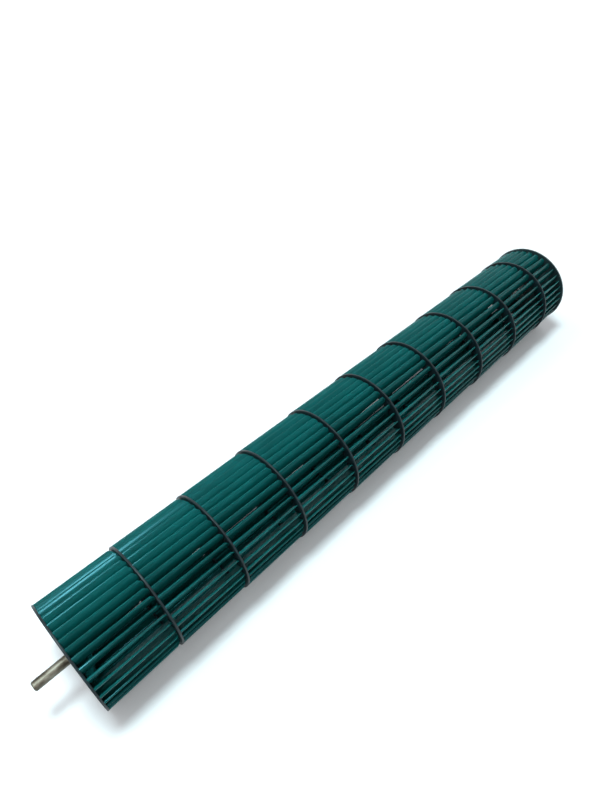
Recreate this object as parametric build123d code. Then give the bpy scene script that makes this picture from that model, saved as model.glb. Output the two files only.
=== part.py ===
from build123d import *
import os
from math import atan2, cos, degrees, radians, sin

# Cross flow fan of a wall-mounted air conditioner: ten moulded segments welded end to end, a steel stub
# shaft at one end and a rubber-mounted hub for the motor's shaft at the other.
# Origin: the centre of the motor bore's mouth, level with the outer face of the motor end plate.
# +X leaves the motor bore, and the rotor runs to -X. Angles turn from +Y towards +Z.

# Rims and rings
RIM_RADIUS = 47.5
RIM_DRAFT = 0.15
RIM_CHAMFER = 0.4
RING_THICKNESS = 1.8
RING_WIDTH = 12.0

# Segments, counted from the shaft end
FULL_SEGMENTS = 9
FULL_BLADE_LENGTH = 64.7
SHORT_BLADE_LENGTH = 38.2
FIRST_TURN = 128.4
TURN_PER_SEGMENT = -4.5

# Blades: each section is an arc that leaves its inner edge radially and leans back towards the rim
BLADE_COUNT = 35
BLADE_DEPTH = 10.9
BLADE_ARC_RADIUS = 10.4
BLADE_ARC_TURN = 88.0
BLADE_THICKNESS = 1.4
BLADE_EMBED = 1.0
BLADE_ROOT_INSET = 0.3
BLADE_END_INSET = 1.2
BLADE_CORNER = 2.5

# Uneven blade pitch, which breaks up the tone: the blades bunch and spread in waves around the ring
PITCH_SWING = 1.9
PITCH_WAVES = 4
PITCH_PHASE = 2.5

# Shaft end: closed web, ribs and a boss around the stub shaft
WEB_THICKNESS = 1.8
WEB_RECESS = 0.8
RIM_LAND = 3.0
BOSS_RADIUS = 9.0
BOSS_LENGTH = 18.0
BOSS_FLOOR = 2.0
BOSS_LAND = 0.4
RIB_COUNT = 8
RIB_THICKNESS = 1.6
RIB_HEIGHT = 11.0
RIB_FOOT = 1.0

# Stub shaft
SHAFT_RADIUS = 4.0
SHAFT_STANDOUT = 28.5
SHAFT_CHAMFER = 0.8
SHAFT_NECK_RADIUS = 3.8
SHAFT_NECK_WIDTH = 1.0
SHAFT_KNURL_RADIUS = 4.1
SHAFT_FLANGE_RADIUS = 5.6
SHAFT_FLANGE_THICKNESS = 3.0

# Motor hub
MOTOR_BORE_RADIUS = 4.0
HUB_RADIUS = 8.5
HUB_LENGTH = 26.0
HUB_CHAMFER = 0.6
HUB_FLANGE_RADIUS = 11.5
HUB_FLANGE_THICKNESS = 3.0

# Damper bush and the collar that holds it
BUSH_RADIUS = 17.0
BUSH_LENGTH = 12.0
BUSH_RECESS = 1.0
BUSH_GROOVE_DEPTH = 1.2
BUSH_GROOVE_WIDTH = 3.0
COLLAR_WALL = 2.4
DISH_DEPTH = 4.0

# Grub screw, in line with the one blade that the short segment leaves out
SCREW_RADIUS = 2.5
SCREW_LENGTH = 4.0
SCREW_TIP_CLEARANCE = 0.25
SCREW_CHAMFER = 0.5
SCREW_FROM_END = 6.5
SOCKET_ACROSS_FLATS = 2.5
SOCKET_DEPTH = 2.2
ACCESS_ANGLE = 270.0

RING_BORE_RADIUS = RIM_RADIUS - RING_WIDTH
BLADE_INNER_RADIUS = RIM_RADIUS - BLADE_DEPTH
FULL_PITCH = RING_THICKNESS + FULL_BLADE_LENGTH
SHORT_PITCH = RING_THICKNESS + SHORT_BLADE_LENGTH
ROTOR_LENGTH = FULL_SEGMENTS * FULL_PITCH + SHORT_PITCH + RING_THICKNESS
SHAFT_END = -ROTOR_LENGTH


def turned(points):
    """A solid of revolution about X from (x, radius) points."""
    return revolve(make_face(Polyline(*points, close=True)), Axis.X)


def placed(solid, x, turn):
    """The solid moved along X and turned about it."""
    return Pos(x, 0, 0) * Rot(turn, 0, 0) * solid


def blade_angles():
    """Angles of the blades' inner edges in a segment's own frame."""
    waves = [360 * PITCH_WAVES * (i - PITCH_PHASE) / BLADE_COUNT for i in range(BLADE_COUNT)]
    return [360 * i / BLADE_COUNT + PITCH_SWING * sin(radians(wave)) for i, wave in enumerate(waves)]


def segment_turn(number):
    """Turn of a segment about X, the one at the shaft end being number 1."""
    return FIRST_TURN + TURN_PER_SEGMENT * (number - 1)


def blade_section(x):
    """A blade's section at x, with its inner edge on +Y."""
    centre = (BLADE_INNER_RADIUS, -BLADE_ARC_RADIUS)
    back_radius = BLADE_ARC_RADIUS + BLADE_THICKNESS / 2
    front_radius = BLADE_ARC_RADIUS - BLADE_THICKNESS / 2
    back = CenterArc(centre, back_radius, 90 - BLADE_ARC_TURN, BLADE_ARC_TURN)
    front = CenterArc(centre, front_radius, 90 - BLADE_ARC_TURN, BLADE_ARC_TURN)
    outline = back + front + Line(back @ 0, front @ 0) + Line(back @ 1, front @ 1)
    return Plane.YZ.offset(x) * make_face(outline)


def blade_middle():
    """Angle from a blade's inner edge to the middle of its sweep about X."""
    tip_along = BLADE_INNER_RADIUS + BLADE_ARC_RADIUS * sin(radians(BLADE_ARC_TURN))
    tip_across = BLADE_ARC_RADIUS * cos(radians(BLADE_ARC_TURN)) - BLADE_ARC_RADIUS
    return degrees(atan2(tip_across, tip_along)) / 2


def blade(length):
    """One blade, standing on a ring's far face and rooted a little inside it."""
    root = blade_section(RING_THICKNESS - BLADE_EMBED)
    straight = extrude(root, length + BLADE_EMBED, dir=(1, 0, 0))
    return straight & blade_envelope(length)


def blade_envelope(length):
    """The turned space that a segment's blades fill, drafted, with the free end's outer corner taken off."""
    end = RING_THICKNESS + length
    root_radius = RIM_RADIUS - BLADE_ROOT_INSET
    end_radius = RIM_RADIUS - BLADE_END_INSET
    return turned([
        (0, 0),
        (0, root_radius),
        (RING_THICKNESS, root_radius),
        (end - BLADE_CORNER, end_radius),
        (end, end_radius - BLADE_CORNER),
        (end, 0),
    ])


def ring():
    """An open ring from x = 0 to its thickness, with a drafted rim."""
    return turned([
        (0, RING_BORE_RADIUS),
        (0, RIM_RADIUS - RIM_CHAMFER),
        (RIM_CHAMFER, RIM_RADIUS),
        (RING_THICKNESS, RIM_RADIUS - RIM_DRAFT),
        (RING_THICKNESS, RING_BORE_RADIUS),
    ])


def bladed(base, length, left_out=None):
    """A base with a ring of blades on it, one of which can be left out."""
    angles = [angle for i, angle in enumerate(blade_angles()) if i != left_out]
    one = blade(length)
    return base + [Rot(angle, 0, 0) * one for angle in angles]


def stub_shaft_profile():
    """Half section of the stub shaft: journal, neck, knurl and flange, x measured inwards."""
    inner_end = BOSS_LENGTH - BOSS_FLOOR
    flange_start = (inner_end - SHAFT_FLANGE_THICKNESS) / 2
    flange_end = flange_start + SHAFT_FLANGE_THICKNESS
    return [
        (-SHAFT_STANDOUT, 0),
        (-SHAFT_STANDOUT, SHAFT_RADIUS - SHAFT_CHAMFER),
        (SHAFT_CHAMFER - SHAFT_STANDOUT, SHAFT_RADIUS),
        (BOSS_LAND - SHAFT_NECK_WIDTH, SHAFT_RADIUS),
        (BOSS_LAND - SHAFT_NECK_WIDTH, SHAFT_NECK_RADIUS),
        (BOSS_LAND, SHAFT_NECK_RADIUS),
        (BOSS_LAND, SHAFT_KNURL_RADIUS),
        (flange_start, SHAFT_KNURL_RADIUS),
        (flange_start, SHAFT_FLANGE_RADIUS),
        (flange_end, SHAFT_FLANGE_RADIUS),
        (flange_end, SHAFT_KNURL_RADIUS),
        (inner_end, SHAFT_KNURL_RADIUS),
        (inner_end, 0),
    ]


def closed_end():
    """The shaft end's rim, recessed web, ribs and boss, x measured inwards from the rotor's end."""
    web_inner = WEB_RECESS + WEB_THICKNESS
    disc = turned([
        (BOSS_LAND, 0),
        (BOSS_LAND, BOSS_RADIUS),
        (WEB_RECESS, BOSS_RADIUS),
        (WEB_RECESS, RING_BORE_RADIUS - RIM_LAND),
        (0, RING_BORE_RADIUS - RIM_LAND),
        (0, RIM_RADIUS - RIM_CHAMFER),
        (RIM_CHAMFER, RIM_RADIUS),
        (RING_THICKNESS, RIM_RADIUS - RIM_DRAFT),
        (RING_THICKNESS, RING_BORE_RADIUS),
        (web_inner, RING_BORE_RADIUS),
        (web_inner, BOSS_RADIUS),
        (BOSS_LENGTH, BOSS_RADIUS),
        (BOSS_LENGTH, 0),
    ])
    outline = make_face(Polyline(
        (web_inner - RIB_FOOT, BOSS_RADIUS - RIB_FOOT),
        (web_inner + RIB_HEIGHT, BOSS_RADIUS - RIB_FOOT),
        (web_inner + RIB_HEIGHT, BOSS_RADIUS),
        (web_inner, RING_BORE_RADIUS),
        (web_inner - RIB_FOOT, RING_BORE_RADIUS),
        close=True,
    ))
    rib = extrude(outline, RIB_THICKNESS / 2, both=True)
    ribs = [Rot(360 * i / RIB_COUNT, 0, 0) * rib for i in range(RIB_COUNT)]
    return disc + ribs - turned(stub_shaft_profile())


def bush_spans():
    """The x spans of the bush, its outer groove and the hub's flange inside it."""
    outer_face = -BUSH_RECESS
    inner_face = outer_face - BUSH_LENGTH
    middle = (outer_face + inner_face) / 2
    groove = (middle - BUSH_GROOVE_WIDTH / 2, middle + BUSH_GROOVE_WIDTH / 2)
    flange = (middle - HUB_FLANGE_THICKNESS / 2, middle + HUB_FLANGE_THICKNESS / 2)
    return (inner_face, outer_face), groove, flange


def motor_end_plate():
    """Rim, dished web and the collar that grips the bush, with a bead in the bush's groove."""
    (bush_start, bush_end), (groove_start, groove_end), _ = bush_spans()
    collar_radius = BUSH_RADIUS + COLLAR_WALL
    return turned([
        (-RING_THICKNESS, RIM_RADIUS - RIM_DRAFT),
        (-RIM_CHAMFER, RIM_RADIUS),
        (0, RIM_RADIUS - RIM_CHAMFER),
        (0, RING_BORE_RADIUS - RIM_LAND),
        (-DISH_DEPTH, collar_radius),
        (bush_end, collar_radius),
        (bush_end, BUSH_RADIUS),
        (groove_end, BUSH_RADIUS),
        (groove_end, BUSH_RADIUS - BUSH_GROOVE_DEPTH),
        (groove_start, BUSH_RADIUS - BUSH_GROOVE_DEPTH),
        (groove_start, BUSH_RADIUS),
        (bush_start, BUSH_RADIUS),
        (bush_start, collar_radius),
        (-DISH_DEPTH - WEB_THICKNESS, collar_radius),
        (-RING_THICKNESS, RING_BORE_RADIUS - RIM_LAND),
    ])


def damper_bush():
    """Rubber between the plate's collar and the hub."""
    (bush_start, bush_end), (groove_start, groove_end), (flange_start, flange_end) = bush_spans()
    return turned([
        (bush_start, HUB_RADIUS),
        (bush_start, BUSH_RADIUS),
        (groove_start, BUSH_RADIUS),
        (groove_start, BUSH_RADIUS - BUSH_GROOVE_DEPTH),
        (groove_end, BUSH_RADIUS - BUSH_GROOVE_DEPTH),
        (groove_end, BUSH_RADIUS),
        (bush_end, BUSH_RADIUS),
        (bush_end, HUB_RADIUS),
        (flange_end, HUB_RADIUS),
        (flange_end, HUB_FLANGE_RADIUS),
        (flange_start, HUB_FLANGE_RADIUS),
        (flange_start, HUB_RADIUS),
    ])


def access_blade():
    """Index of the short segment's blade nearest the access angle, and the angle of its middle."""
    turn = segment_turn(FULL_SEGMENTS + 1) + blade_middle()
    middles = [turn + angle for angle in blade_angles()]
    return min(enumerate(middles), key=lambda blade: abs(blade[1] - ACCESS_ANGLE))


def screw_location():
    """The grub screw's tip, its axis pointing outwards through the gap of the blade left out."""
    _, angle = access_blade()
    x = SCREW_FROM_END - HUB_LENGTH
    outwards = Vector(0, 1, 0).rotate(Axis.X, angle)
    tip = outwards * (MOTOR_BORE_RADIUS + SCREW_TIP_CLEARANCE)
    return Plane(origin=(x, tip.Y, tip.Z), x_dir=(1, 0, 0), z_dir=outwards)


def motor_hub():
    """Metal hub with the motor bore, a flange held in the bush and a tapped hole for the grub screw."""
    _, _, (flange_start, flange_end) = bush_spans()
    body = turned([
        (-HUB_LENGTH, MOTOR_BORE_RADIUS),
        (-HUB_LENGTH, HUB_RADIUS - HUB_CHAMFER),
        (HUB_CHAMFER - HUB_LENGTH, HUB_RADIUS),
        (flange_start, HUB_RADIUS),
        (flange_start, HUB_FLANGE_RADIUS),
        (flange_end, HUB_FLANGE_RADIUS),
        (flange_end, HUB_RADIUS),
        (-HUB_CHAMFER, HUB_RADIUS),
        (0, HUB_RADIUS - HUB_CHAMFER),
        (0, MOTOR_BORE_RADIUS),
    ])
    hole_start = -MOTOR_BORE_RADIUS
    hole_end = HUB_RADIUS
    hole = Pos(0, 0, (hole_start + hole_end) / 2) * Cylinder(SCREW_RADIUS, hole_end - hole_start)
    return body - screw_location() * hole


def grub_screw():
    """Headless screw with a cup point chamfer and a hexagon socket."""
    body = Pos(0, 0, SCREW_LENGTH / 2) * Cylinder(SCREW_RADIUS, SCREW_LENGTH)
    body = chamfer(body.edges().filter_by(GeomType.CIRCLE), SCREW_CHAMFER)
    hexagon = RegularPolygon(SOCKET_ACROSS_FLATS / 2, 6, major_radius=False)
    socket = extrude(Pos(0, 0, SCREW_LENGTH - SOCKET_DEPTH) * hexagon, SOCKET_DEPTH)
    return screw_location() * (body - socket)


def build():
    """Every piece in its place, by node name."""
    pieces = {}
    first = bladed(closed_end(), FULL_BLADE_LENGTH)
    pieces["segment_01_shaft_end"] = placed(first, SHAFT_END, segment_turn(1))
    full = bladed(ring(), FULL_BLADE_LENGTH)
    for number in range(2, FULL_SEGMENTS + 1):
        x = SHAFT_END + (number - 1) * FULL_PITCH
        pieces[f"segment_{number:02d}"] = placed(full, x, segment_turn(number))
    last = FULL_SEGMENTS + 1
    left_out, _ = access_blade()
    short = bladed(ring(), SHORT_BLADE_LENGTH, left_out)
    x = SHAFT_END + FULL_SEGMENTS * FULL_PITCH
    pieces[f"segment_{last:02d}_motor_end"] = placed(short, x, segment_turn(last))
    pieces["motor_end_plate"] = motor_end_plate()
    pieces["stub_shaft"] = placed(turned(stub_shaft_profile()), SHAFT_END, 0)
    pieces["damper_bush"] = damper_bush()
    pieces["motor_hub"] = motor_hub()
    pieces["grub_screw"] = grub_screw()
    return pieces


os.makedirs("parts", exist_ok=True)
for name, solid in build().items():
    export_step(solid, f"parts/{name}.step")
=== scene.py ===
from math import asin, atan2, cos, degrees, pi, radians, sin, sqrt

import bmesh
import bpy
from mathutils import Matrix, Vector


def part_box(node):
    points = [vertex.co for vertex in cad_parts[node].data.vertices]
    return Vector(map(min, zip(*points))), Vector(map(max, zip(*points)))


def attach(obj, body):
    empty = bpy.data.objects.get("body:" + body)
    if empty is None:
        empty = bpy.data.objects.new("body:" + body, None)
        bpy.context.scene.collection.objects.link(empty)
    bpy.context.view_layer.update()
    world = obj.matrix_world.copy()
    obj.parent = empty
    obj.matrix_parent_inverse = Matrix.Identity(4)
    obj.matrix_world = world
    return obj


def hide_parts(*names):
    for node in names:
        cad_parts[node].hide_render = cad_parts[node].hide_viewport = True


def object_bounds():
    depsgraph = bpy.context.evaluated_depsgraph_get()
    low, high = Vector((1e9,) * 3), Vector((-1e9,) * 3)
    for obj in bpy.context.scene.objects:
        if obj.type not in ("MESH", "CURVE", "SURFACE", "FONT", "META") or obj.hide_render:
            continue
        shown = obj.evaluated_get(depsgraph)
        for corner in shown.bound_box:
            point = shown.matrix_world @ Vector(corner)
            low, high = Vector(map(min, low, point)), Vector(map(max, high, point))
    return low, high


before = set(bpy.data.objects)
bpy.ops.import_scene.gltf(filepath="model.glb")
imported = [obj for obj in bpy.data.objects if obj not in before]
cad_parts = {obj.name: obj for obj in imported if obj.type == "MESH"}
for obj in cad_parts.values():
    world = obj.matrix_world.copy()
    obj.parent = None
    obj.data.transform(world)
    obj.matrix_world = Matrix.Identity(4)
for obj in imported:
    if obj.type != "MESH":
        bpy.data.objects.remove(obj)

CAD_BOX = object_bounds()

# Sizes in metres. The main ones are the solids'; the blades' draft in thickness and the rounded edges are only
# here. Angles in degrees turn from +Y towards +Z.
RING_THICKNESS = 0.0018
RING_WIDTH = 0.012
RIM_DRAFT = 0.00015
RIM_ROUND = 0.0005
BORE_ROUND = 0.0003

# Blades
BLADE_COUNT = 35
BLADE_DEPTH = 0.0109
BLADE_ARC_RADIUS = 0.0104
BLADE_ROOT_THICKNESS = 0.0024
BLADE_END_THICKNESS = 0.0011
BLADE_EMBED = 0.0005
BLADE_ROOT_INSET = 0.0002
BLADE_END_INSET = 0.0012
BLADE_CORNER = 0.0025
CORNER_BEND = 0.15 * BLADE_CORNER
PITCH_SWING = 1.9
PITCH_WAVES = 4
PITCH_PHASE = 2.5
FIRST_TURN = 128.4
TURN_PER_SEGMENT = -4.5
ACCESS_ANGLE = 270

# Shaft end
WEB_RECESS = 0.0008
WEB_THICKNESS = 0.0018
WEB_INNER = WEB_RECESS + WEB_THICKNESS
RIM_LAND = 0.003
BOSS_RADIUS = 0.009
BOSS_LENGTH = 0.018
BOSS_LAND = 0.0004
BOSS_ROUND = 0.0005
RIB_COUNT = 8
RIB_THICKNESS = 0.0016
RIB_HEIGHT = 0.011
RIB_EMBED = 0.0003

# How finely curves are drawn
ROUND_STEPS = 180
BLADE_STEPS = 12
EDGE_STEPS = 4
CORNER_STEPS = 3
SHARP_ANGLE = 38

SEGMENTS = sorted(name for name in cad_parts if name.startswith("segment_"))
RIM_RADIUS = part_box(SEGMENTS[1])[1].y
RING_BORE = RIM_RADIUS - RING_WIDTH
BLADE_INNER = RIM_RADIUS - BLADE_DEPTH

# The rim's place in a segment's list of materials, after the blades'
RIM_SLOT = 1

# Noise stays between these but for rare peaks
NOISE_LOW = 0.3
NOISE_HIGH = 0.7

# How light passes through the teal plastic
THROUGH_SHARE = 0.5
THROUGH_COLOUR = (0.3, 1, 0.95)

# Stage. Lamps: place from the part's middle, size, power in watts, colour
LAMPS = {
    "overhead": ((-0.15, 0.12, 1.5), 0.4, 20, (0.75, 0.95, 1)),
    "soft": ((-0.4, 0.9, 1.4), 0.8, 6, (0.9, 0.96, 1)),
    "front": ((-1.0, -0.9, 1.5), 0.8, 7, (1, 1, 1)),
}
WHITE = (1, 1, 1, 1)

# The light of the sky: how high above the horizon, as a sine, and its colour there
SKY = [(0.2, (0.12, 0.12, 0.12, 1)), (0.9, (0.6, 0.63, 0.66, 1))]

FLOOR_SIZE = 30
FLOOR_LIT = (0.4, 0.4, 0.4, 1)
FLOOR_SEEN = (0.95, 0.95, 0.95, 1)
FLOOR_GLOW = (0.8, 0.8, 0.8, 1)
GLOW_START = 0.45
GLOW_FULL = 1.3

# Places in rim radii from the middle of the shaft end's face, lens and sensor in mm
CAMERA_PLACE = Vector((0.274, -4.757, 9.336))
CAMERA_TARGET = Vector((6.008, 0.977, 0.498))
CAMERA_LENS = 26.35
SENSOR_WIDTH = 36
CLIP_START = 0.01
CLIP_END = 100


# Materials

def linear(red, green, blue):
    """A screen colour of 0-255 as the shader's linear colour."""
    channels = [c / 255 for c in (red, green, blue)]
    return [c / 12.92 if c <= 0.04045 else ((c + 0.055) / 1.055) ** 2.4 for c in channels] + [1]


def new_material(name):
    material = bpy.data.materials.new(name)
    material.use_nodes = True
    tree = material.node_tree
    return material, tree, tree.nodes["Principled BSDF"]


def add_noise(tree, scale, detail, stretch):
    """Noise in the piece's own metres, stretched along an axis by a small factor there."""
    coords = tree.nodes.new("ShaderNodeTexCoord")
    mapping = tree.nodes.new("ShaderNodeMapping")
    mapping.inputs["Scale"].default_value = stretch
    noise = tree.nodes.new("ShaderNodeTexNoise")
    noise.inputs["Scale"].default_value = scale
    noise.inputs["Detail"].default_value = detail
    tree.links.new(coords.outputs["Object"], mapping.inputs["Vector"])
    tree.links.new(mapping.outputs["Vector"], noise.inputs["Vector"])
    return noise.outputs["Fac"]


def add_ramp(tree, factor, stops):
    """Colours against a factor; stops are (place, colour)."""
    ramp = tree.nodes.new("ShaderNodeValToRGB")
    elements = ramp.color_ramp.elements
    elements[0].position, elements[0].color = stops[0]
    elements[1].position, elements[1].color = stops[-1]
    for place, colour in stops[1:-1]:
        elements.new(place).color = colour
    tree.links.new(factor, ramp.inputs["Fac"])
    return ramp.outputs["Color"]


def add_range(tree, value, from_low, from_high, to_low=0, to_high=1):
    """A value between two limits, moved to lie between two others."""
    span = tree.nodes.new("ShaderNodeMapRange")
    span.inputs["From Min"].default_value = from_low
    span.inputs["From Max"].default_value = from_high
    span.inputs["To Min"].default_value = to_low
    span.inputs["To Max"].default_value = to_high
    tree.links.new(value, span.inputs["Value"])
    return span.outputs["Result"]


def add_bump(tree, shader, height, distance):
    bump = tree.nodes.new("ShaderNodeBump")
    bump.inputs["Distance"].default_value = distance
    tree.links.new(height, bump.inputs["Height"])
    tree.links.new(bump.outputs["Normal"], shader.inputs["Normal"])


def surface(name, colours, roughness, grain, bump=0.0, metallic=0.0, specular=0.5, tint=(1, 1, 1), depth=0.0):
    """A procedural material.

    Colours and roughness (low, high) follow a noise of the given grain (scale, detail, stretch). The bump is a
    height, and depth is how far light reaches below the surface.
    """
    material, tree, shader = new_material(name)
    noise = add_noise(tree, *grain)
    step = (NOISE_HIGH - NOISE_LOW) / (len(colours) - 1)
    stops = [(NOISE_LOW + step * i, linear(*colour)) for i, colour in enumerate(colours)]
    tree.links.new(add_ramp(tree, noise, stops), shader.inputs["Base Color"])
    tree.links.new(add_range(tree, noise, NOISE_LOW, NOISE_HIGH, *roughness), shader.inputs["Roughness"])
    shader.inputs["Metallic"].default_value = metallic
    shader.inputs["Specular IOR Level"].default_value = specular
    shader.inputs["Specular Tint"].default_value = (*tint, 1)
    if bump:
        add_bump(tree, shader, noise, bump)
    if depth:
        shader.inputs["Subsurface Weight"].default_value = THROUGH_SHARE
        shader.inputs["Subsurface Radius"].default_value = THROUGH_COLOUR
        shader.inputs["Subsurface Scale"].default_value = depth
    return material


TEAL = surface(
    "teal_plastic", colours=[(4, 64, 62), (7, 76, 74), (13, 88, 86)], roughness=(0.18, 0.3),
    grain=(60, 6, (0.25, 1, 1)), bump=0.00006, specular=0.2, tint=(0.3, 0.85, 1), depth=0.005,
)
RIM = surface(
    "rim_plastic", colours=[(8, 19, 22), (14, 30, 34), (26, 47, 52)], roughness=(0.35, 0.55),
    grain=(90, 8, (1, 1, 1)), bump=0.0001, specular=0.25,
)
PLATE = surface(
    "plate_plastic", colours=[(26, 42, 44), (36, 56, 58)], roughness=(0.3, 0.5),
    grain=(70, 6, (1, 1, 1)), bump=0.0001,
)
STEEL = surface(
    "worn_steel", colours=[(62, 58, 50), (108, 104, 93), (144, 142, 131)], roughness=(0.35, 0.6),
    grain=(220, 8, (0.5, 1, 1)), bump=0.0002, metallic=1.0,
)
RUBBER = surface(
    "bush_rubber", colours=[(26, 26, 27), (38, 38, 39)], roughness=(0.6, 0.8),
    grain=(120, 6, (1, 1, 1)), bump=0.0001,
)
ALLOY = surface(
    "hub_alloy", colours=[(168, 168, 166), (196, 196, 194)], roughness=(0.25, 0.4),
    grain=(200, 4, (4, 1, 1)), bump=0.00003, metallic=1.0,
)
BLACK_STEEL = surface(
    "screw_steel", colours=[(60, 60, 62), (84, 84, 86)], roughness=(0.3, 0.5),
    grain=(300, 4, (1, 1, 1)), metallic=1.0,
)


# Shapes, drawn with x from 0 at the shaft-end side of a segment

def blade_angles():
    waves = [360 * PITCH_WAVES * (i - PITCH_PHASE) / BLADE_COUNT for i in range(BLADE_COUNT)]
    return [360 * i / BLADE_COUNT + PITCH_SWING * sin(radians(wave)) for i, wave in enumerate(waves)]


def arc_point(radius, turn):
    """A point beside a blade's arc: how far out along its inner edge's radius, and across it."""
    return Vector((BLADE_INNER + radius * sin(turn), radius * cos(turn) - BLADE_ARC_RADIUS))


def tip_turn(tip_radius):
    """The turn of the arc, in radians, at which it reaches a radius from the fan's axis."""
    # |arc_point|^2 = inner^2 + 2*arc^2 + 2*arc*(inner*sin(turn) - arc*cos(turn)), solved for the turn
    reach = (tip_radius**2 - BLADE_INNER**2 - 2 * BLADE_ARC_RADIUS**2) / (2 * BLADE_ARC_RADIUS)
    return asin(reach / sqrt(BLADE_INNER**2 + BLADE_ARC_RADIUS**2)) + atan2(BLADE_ARC_RADIUS, BLADE_INNER)


def blade_outline(thickness, tip_radius):
    """A blade's section with round edges, as points (along, across)."""
    half = thickness / 2
    first = half / BLADE_ARC_RADIUS
    last = tip_turn(tip_radius - half)
    turns = [first + (last - first) * i / BLADE_STEPS for i in range(BLADE_STEPS + 1)]
    back = [arc_point(BLADE_ARC_RADIUS + half, turn) for turn in turns]
    front = [arc_point(BLADE_ARC_RADIUS - half, turn) for turn in reversed(turns)]
    tip, root = [], []
    for i in range(1, EDGE_STEPS):
        swing = pi * i / EDGE_STEPS
        for edge, turn, side in ((tip, last, 1), (root, first, -1)):
            outward = Vector((sin(turn), cos(turn))) * side
            onward = Vector((cos(turn), -sin(turn))) * side
            centre = arc_point(BLADE_ARC_RADIUS, turn)
            edge.append(centre + half * (outward * cos(swing) + onward * sin(swing)))
    return back + tip + front + root


def blade_stations(length):
    """(x, thickness, tip radius) along a blade, its free end's outer corner taken off."""
    end = RING_THICKNESS + length
    corner = end - BLADE_CORNER
    end_radius = RIM_RADIUS - BLADE_END_INSET
    return [
        (RING_THICKNESS - BLADE_EMBED, BLADE_ROOT_THICKNESS, RIM_RADIUS - BLADE_ROOT_INSET),
        (corner - CORNER_BEND, BLADE_END_THICKNESS, end_radius),
        (corner + CORNER_BEND, BLADE_END_THICKNESS, end_radius - CORNER_BEND),
        (end, BLADE_END_THICKNESS, end_radius - BLADE_CORNER),
    ]


def add_blade(mesh, angle, length):
    turn = Matrix.Rotation(radians(angle), 3, "X")
    loops = []
    for x, thickness, tip_radius in blade_stations(length):
        outline = blade_outline(thickness, tip_radius)
        loops.append([mesh.verts.new(turn @ Vector((x, *point))) for point in outline])
    for near, far in zip(loops, loops[1:]):
        for i in range(len(near)):
            mesh.faces.new((near[i - 1], near[i], far[i], far[i - 1]))
    mesh.faces.new(loops[-1])


def add_turned(mesh, profile):
    """A closed (x, radius) profile turned about X, in the rim's plastic."""
    rows = []
    for step in range(ROUND_STEPS):
        turn = Matrix.Rotation(2 * pi * step / ROUND_STEPS, 3, "X")
        rows.append([mesh.verts.new(turn @ Vector((x, radius, 0))) for x, radius in profile])
    for step in range(ROUND_STEPS):
        near, far = rows[step - 1], rows[step]
        for i in range(len(profile)):
            face = mesh.faces.new((near[i - 1], near[i], far[i], far[i - 1]))
            face.material_index = RIM_SLOT


def rounded(corner, before, after, size):
    """Points that round a corner of a profile, from the side of one neighbour to the other's."""
    corner, before, after = Vector(corner), Vector(before), Vector(after)
    start = corner + (before - corner).normalized() * size
    end = corner + (after - corner).normalized() * size
    points = []
    for i in range(CORNER_STEPS + 1):
        t = i / CORNER_STEPS
        points.append(tuple(start * (1 - t) ** 2 + corner * 2 * t * (1 - t) + end * t**2))
    return points


def rounded_profile(corners):
    """(x, radius, rounding) corners as a profile."""
    points = []
    for i, (x, radius, size) in enumerate(corners):
        if size:
            after = corners[(i + 1) % len(corners)]
            points += rounded((x, radius), corners[i - 1][:2], after[:2], size)
        else:
            points.append((x, radius))
    return points


def ring_corners():
    far_radius = RIM_RADIUS - RIM_DRAFT
    return [
        (0, RING_BORE, BORE_ROUND),
        (0, RIM_RADIUS, RIM_ROUND),
        (RING_THICKNESS, far_radius, RIM_ROUND),
        (RING_THICKNESS, RING_BORE, BORE_ROUND),
    ]


def closed_end_corners():
    return [
        (BOSS_LAND, 0, 0),
        (BOSS_LAND, BOSS_RADIUS, BORE_ROUND),
        (WEB_RECESS, BOSS_RADIUS, 0),
        (WEB_RECESS, RING_BORE - RIM_LAND, 0),
        (0, RING_BORE - RIM_LAND, BORE_ROUND),
        (0, RIM_RADIUS, RIM_ROUND),
        (RING_THICKNESS, RIM_RADIUS - RIM_DRAFT, RIM_ROUND),
        (RING_THICKNESS, RING_BORE, 0),
        (WEB_INNER, RING_BORE, 0),
        (WEB_INNER, BOSS_RADIUS, 0),
        (BOSS_LENGTH, BOSS_RADIUS, BOSS_ROUND),
        (BOSS_LENGTH, 0, 0),
    ]


def add_rib(mesh, angle):
    outline = [
        (WEB_INNER - RIB_EMBED, BOSS_RADIUS - RIB_EMBED),
        (WEB_INNER + RIB_HEIGHT, BOSS_RADIUS - RIB_EMBED),
        (WEB_INNER + RIB_HEIGHT, BOSS_RADIUS),
        (WEB_INNER, RING_BORE),
        (WEB_INNER - RIB_EMBED, RING_BORE),
    ]
    turn = Matrix.Rotation(radians(angle), 3, "X")
    sides = [
        [mesh.verts.new(turn @ Vector((x, radius, side * RIB_THICKNESS / 2))) for x, radius in outline]
        for side in (-1, 1)
    ]
    for i in range(len(outline)):
        mesh.faces.new((sides[0][i - 1], sides[0][i], sides[1][i], sides[1][i - 1]))
    mesh.faces.new(sides[0])
    mesh.faces.new(reversed(sides[1]))


def finished(name, mesh, materials):
    """An object from a bmesh, smooth but for its sharp edges."""
    bmesh.ops.recalc_face_normals(mesh, faces=mesh.faces)
    data = bpy.data.meshes.new(name)
    mesh.to_mesh(data)
    mesh.free()
    for material in materials:
        data.materials.append(material)
    data.shade_smooth()
    data.set_sharp_from_angle(angle=radians(SHARP_ANGLE))
    piece = bpy.data.objects.new(name, data)
    bpy.context.scene.collection.objects.link(piece)
    return piece


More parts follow.
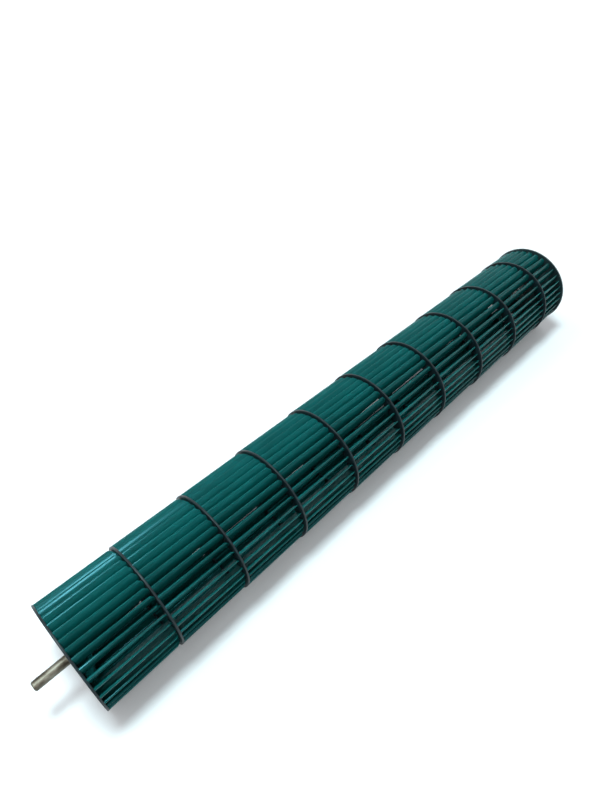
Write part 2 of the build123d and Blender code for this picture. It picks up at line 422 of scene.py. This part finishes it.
def segment(name, closed, left_out):
    """A ring, or the closed end with its ribs, and the blades on it but for the one left out."""
    low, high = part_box(name)
    length = high.x - low.x - RING_THICKNESS
    mesh = bmesh.new()
    add_turned(mesh, rounded_profile(closed_end_corners() if closed else ring_corners()))
    if closed:
        for i in range(RIB_COUNT):
            add_rib(mesh, 360 * i / RIB_COUNT)
    for i, angle in enumerate(blade_angles()):
        if i != left_out:
            add_blade(mesh, angle, length)
    return finished(name + "_visual", mesh, [TEAL, RIM])


def nearest_blade(turn, angle):
    """Index of the blade whose middle is nearest an angle, for a segment turned about X."""
    inner, tip = arc_point(BLADE_ARC_RADIUS, 0), arc_point(BLADE_ARC_RADIUS, tip_turn(RIM_RADIUS))
    lag = degrees(atan2(tip.y, tip.x) + atan2(inner.y, inner.x)) / 2
    return min(range(BLADE_COUNT), key=lambda i: abs(turn + blade_angles()[i] + lag - angle))


def build_segments():
    for i, name in enumerate(SEGMENTS):
        turn = FIRST_TURN + TURN_PER_SEGMENT * i
        left_out = nearest_blade(turn, ACCESS_ANGLE) if name == SEGMENTS[-1] else None
        piece = segment(name, closed=i == 0, left_out=left_out)
        piece.location.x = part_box(name)[0].x
        piece.data.transform(Matrix.Rotation(radians(turn), 4, "X"))
        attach(piece, "root")
        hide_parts(name)


def dress_solids():
    """The looks of the solids that are shown as they are."""
    looks = {
        "motor_end_plate": PLATE,
        "stub_shaft": STEEL,
        "damper_bush": RUBBER,
        "motor_hub": ALLOY,
        "grub_screw": BLACK_STEEL,
    }
    for node, material in looks.items():
        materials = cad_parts[node].data.materials
        materials.clear()
        materials.append(material)


# Stage: floor, world, lamps and camera

def seen_directly(tree):
    """1 for rays from the camera, mirror reflections and clear materials, 0 for the light on the object."""
    path = tree.nodes.new("ShaderNodeLightPath")
    total = path.outputs["Is Camera Ray"]
    for kind in ("Is Glossy Ray", "Is Transmission Ray"):
        add = tree.nodes.new("ShaderNodeMath")
        add.operation = "MAXIMUM"
        tree.links.new(total, add.inputs[0])
        tree.links.new(path.outputs[kind], add.inputs[1])
        total = add.outputs[0]
    return total


def add_ray_mix(tree, seen):
    """A mix whose A is the colour that lights the object, and whose B is the one that is seen directly."""
    mix = tree.nodes.new("ShaderNodeMix")
    mix.data_type = "RGBA"
    tree.links.new(seen_directly(tree), mix.inputs["Factor"])
    mix.inputs["B"].default_value = seen
    return mix


def distance_from(tree, place):
    position = tree.nodes.new("ShaderNodeNewGeometry")
    distance = tree.nodes.new("ShaderNodeVectorMath")
    distance.operation = "DISTANCE"
    distance.inputs[1].default_value = place
    tree.links.new(position.outputs["Position"], distance.inputs[0])
    return distance.outputs["Value"]


def add_floor(middle):
    """A floor that looks white: by its colour under the lamps, and by a glow further out, which lights nothing."""
    mesh = bmesh.new()
    bmesh.ops.create_grid(mesh, x_segments=1, y_segments=1, size=FLOOR_SIZE)
    floor = finished("floor", mesh, [])
    floor.location.z = -RIM_RADIUS
    material, tree, shader = new_material("floor")
    mix = add_ray_mix(tree, seen=FLOOR_SEEN)
    mix.inputs["A"].default_value = FLOOR_LIT
    tree.links.new(mix.outputs["Result"], shader.inputs["Base Color"])
    shader.inputs["Roughness"].default_value = 1
    shader.inputs["Specular IOR Level"].default_value = 0
    glow = tree.nodes.new("ShaderNodeMath")
    glow.operation = "MULTIPLY"
    tree.links.new(seen_directly(tree), glow.inputs[0])
    tree.links.new(add_range(tree, distance_from(tree, middle), GLOW_START, GLOW_FULL), glow.inputs[1])
    tree.links.new(glow.outputs[0], shader.inputs["Emission Strength"])
    shader.inputs["Emission Color"].default_value = FLOOR_GLOW
    floor.data.materials.append(material)


def set_world():
    """Soft light that fades from the sky down to the horizon, white where it is seen directly."""
    world = bpy.data.worlds.new("world")
    world.use_nodes = True
    bpy.context.scene.world = world
    tree = world.node_tree
    background = tree.nodes["Background"]
    coords = tree.nodes.new("ShaderNodeTexCoord")
    split = tree.nodes.new("ShaderNodeSeparateXYZ")
    tree.links.new(coords.outputs["Generated"], split.inputs["Vector"])
    mix = add_ray_mix(tree, seen=WHITE)
    tree.links.new(add_ramp(tree, split.outputs["Z"], SKY), mix.inputs["A"])
    tree.links.new(mix.outputs["Result"], background.inputs["Color"])
    background.inputs["Strength"].default_value = 1


def aim(thing, place, target):
    thing.location = place
    thing.rotation_mode = "QUATERNION"
    thing.rotation_quaternion = (target - place).to_track_quat("-Z", "Y")


def add_lamp(name, place, target, size, power, colour):
    light = bpy.data.lights.new(name, "AREA")
    light.color = colour
    light.shape = "DISK"
    light.size = size
    light.energy = power
    lamp = bpy.data.objects.new(name, light)
    bpy.context.scene.collection.objects.link(lamp)
    aim(lamp, place, target)


def add_camera():
    """Looking down along the rotor from beside its shaft end."""
    rotor_end = Vector((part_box(SEGMENTS[0])[0].x, 0, 0))
    data = bpy.data.cameras.new("camera")
    data.sensor_width = SENSOR_WIDTH
    data.lens = CAMERA_LENS
    data.clip_start = CLIP_START
    data.clip_end = CLIP_END
    camera = bpy.data.objects.new("camera", data)
    bpy.context.scene.collection.objects.link(camera)
    aim(camera, rotor_end + RIM_RADIUS * CAMERA_PLACE, rotor_end + RIM_RADIUS * CAMERA_TARGET)
    bpy.context.scene.camera = camera


def set_stage():
    middle = sum(CAD_BOX, Vector()) / 2
    add_floor(middle)
    set_world()
    for name, (place, size, power, colour) in LAMPS.items():
        add_lamp(name, middle + Vector(place), middle, size, power, colour)
    add_camera()
    bpy.context.scene.view_settings.view_transform = "Standard"


build_segments()
dress_solids()
set_stage()
